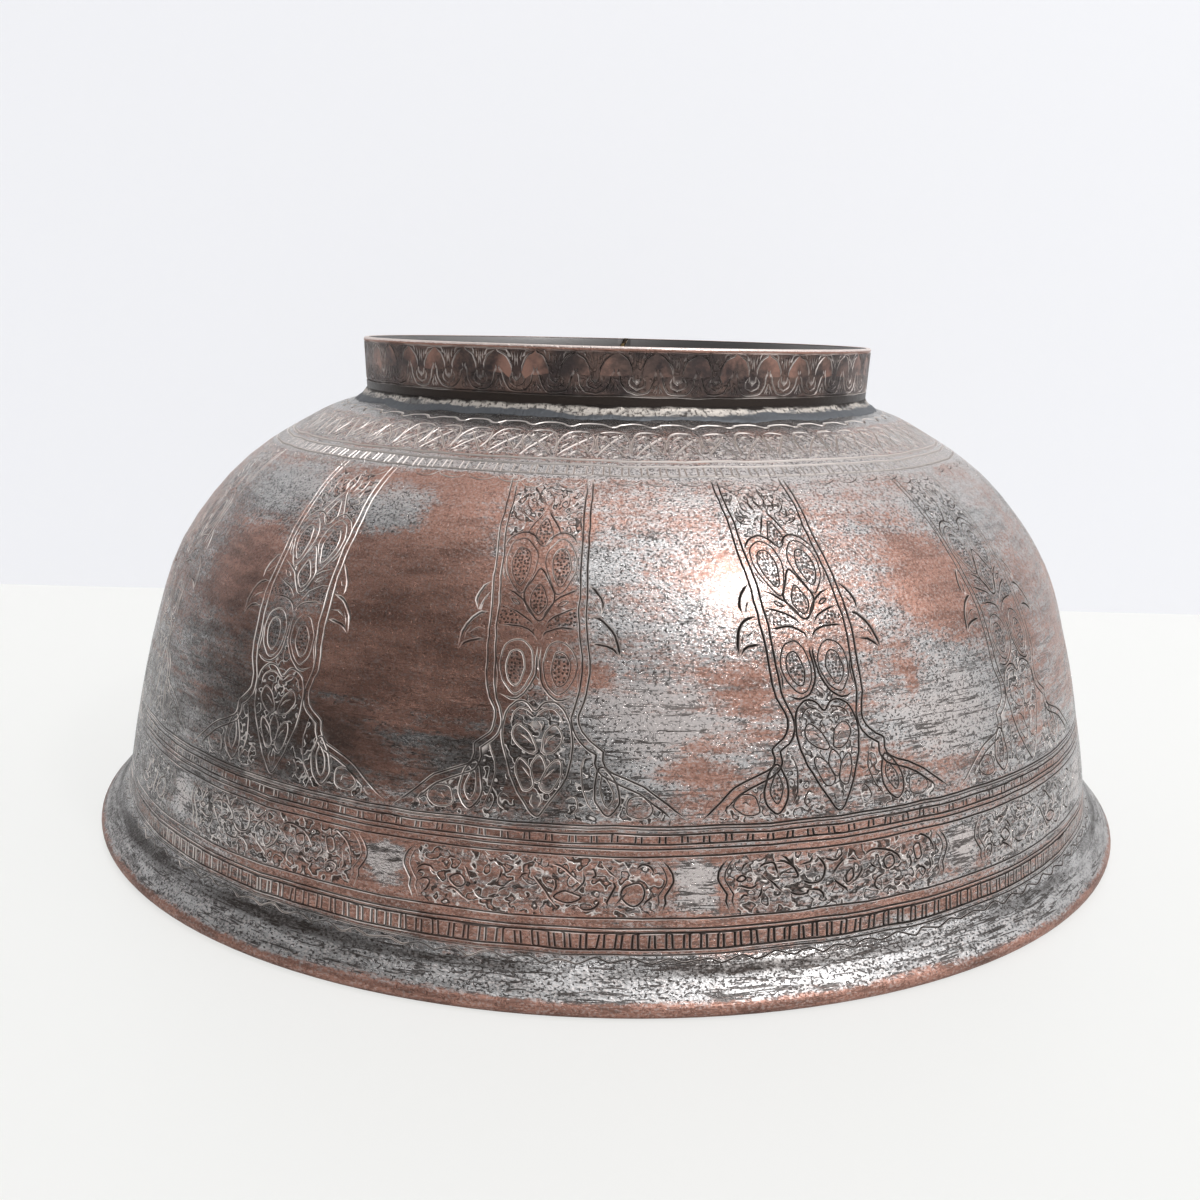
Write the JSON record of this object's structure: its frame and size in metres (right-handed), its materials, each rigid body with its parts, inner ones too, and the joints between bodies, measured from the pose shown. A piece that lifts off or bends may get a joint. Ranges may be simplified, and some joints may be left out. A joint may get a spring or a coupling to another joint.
{
  "type": "tinned copper bowl",
  "caption": "Round copper bowl with a flared lip and a soldered foot hoop, stored upside down on its mouth; holds food or liquid.",
  "frame": {"origin": "centre of the mouth, on the plane that the lip stands on", "axes": "+Z along the bowl's axis, from the mouth to the foot, so the bowl is stored upside down as pictured"},
  "size_m": [0.27, 0.27, 0.121],
  "materials": {
    "tinned_copper": "raised copper sheet, engraved outside, grey tin worn through to red-brown copper",
    "foot_copper": "dark red-brown copper strip, engraved, bright on its free edge",
    "braze": "yellow braze, filed flush and dulled",
    "solder": "dull grey tin solder, uneven"
  },
  "bodies": {
    "root": {"bowl_body": "tinned_copper", "foot_hoop": "foot_copper", "foot_hoop_braze": "braze", "foot_solder": "solder"}
  },
  "joints": []
}
